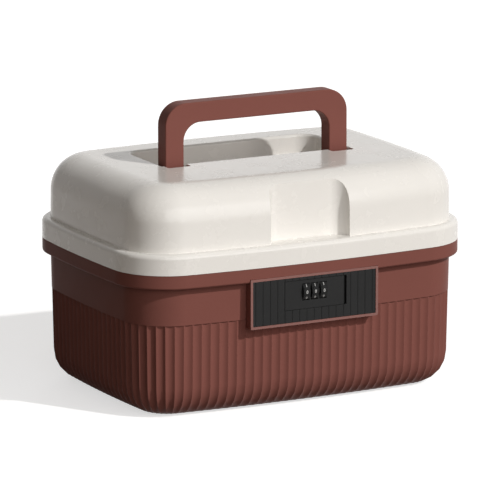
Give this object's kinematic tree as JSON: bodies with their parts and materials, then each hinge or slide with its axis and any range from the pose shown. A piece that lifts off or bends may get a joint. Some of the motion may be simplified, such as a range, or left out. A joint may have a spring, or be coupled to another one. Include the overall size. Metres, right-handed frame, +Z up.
{
  "type": "lockable storage box",
  "caption": "Fluted plastic storage box with a domed hinged lid, a folding carry handle, a dial combination lock on its front and a lift-out tray.",
  "frame": {"origin": "centre of the box's base, on the surface it stands on", "axes": "+X along the long side to the right seen from the lock, the lock's side faces -Y, +Z up"},
  "size_m": [0.32, 0.241, 0.2446],
  "materials": {
    "tub_brown": "satin, fine grain",
    "lid_cream": "satin, fine grain",
    "lock_black": "fine texture",
    "dial_black": "smooth, numbers printed in white",
    "steel": "plated",
    "spring_steel": "drawn wire and strip",
    "tray_white": "satin"
  },
  "bodies": {
    "tub": {"tub": "tub_brown", "tub_rim": "tub_brown", "hinge_pins": "steel", "lock_frame": "tub_brown", "lock_face": "lock_black", "lock_housing": "lock_black", "lock_screws": "steel", "slider_spring": "spring_steel"},
    "lid": {"lid_shell": "lid_cream", "handle_pins": "steel", "lid_hook": "steel", "hook_screws": "steel"},
    "handle": {"handle": "tub_brown"},
    "slider": {"release_slider": "lock_black", "dial_axle": "steel", "latch_bolt": "steel", "bolt_screws": "steel", "detent_spring": "spring_steel"},
    "dial_1": {"dial_1": "dial_black", "code_sleeve_1": "steel"},
    "dial_2": {"dial_2": "dial_black", "code_sleeve_2": "steel"},
    "dial_3": {"dial_3": "dial_black", "code_sleeve_3": "steel"},
    "tray": {"tray": "tray_white"},
    "reset_lever": {"reset_lever": "lock_black"}
  },
  "joints": [
    {"name": "lid_hinge", "type": "hinge", "parent": "tub", "child": "lid", "pos_m": [0, 0.1195, 0.12285], "axis": [-1, 0, 0], "range_deg": [0, 105]},
    {"name": "handle_fold", "type": "hinge", "parent": "lid", "child": "handle", "pos_m": [0, -0.006, 0.18535], "axis": [-1, 0, 0], "range_deg": [0, 90]},
    {"name": "slider_release", "type": "slide", "parent": "tub", "child": "slider", "axis": [1, 0, 0], "range_m": [0, 0.0023], "stiffness_N_per_m": 900, "springref_m": -0.002, "deforming": ["slider_spring"]},
    {"name": "dial_1_turn", "type": "hinge", "parent": "slider", "child": "dial_1", "pos_m": [-0.008, -0.108, 0.0991], "axis": [1, 0, 0], "continuous": true},
    {"name": "dial_2_turn", "type": "hinge", "parent": "slider", "child": "dial_2", "pos_m": [0, -0.108, 0.0991], "axis": [1, 0, 0], "continuous": true},
    {"name": "dial_3_turn", "type": "hinge", "parent": "slider", "child": "dial_3", "pos_m": [0.008, -0.108, 0.0991], "axis": [1, 0, 0], "continuous": true},
    {"name": "tray_lift", "type": "slide", "parent": "tub", "child": "tray", "axis": [0, 0, 1], "range_m": [0, 0.045]},
    {"name": "reset_turn", "type": "hinge", "parent": "tub", "child": "reset_lever", "pos_m": [-0.03, -0.0937, 0.0931], "axis": [0, -1, 0], "range_deg": [0, 90]}
  ]
}
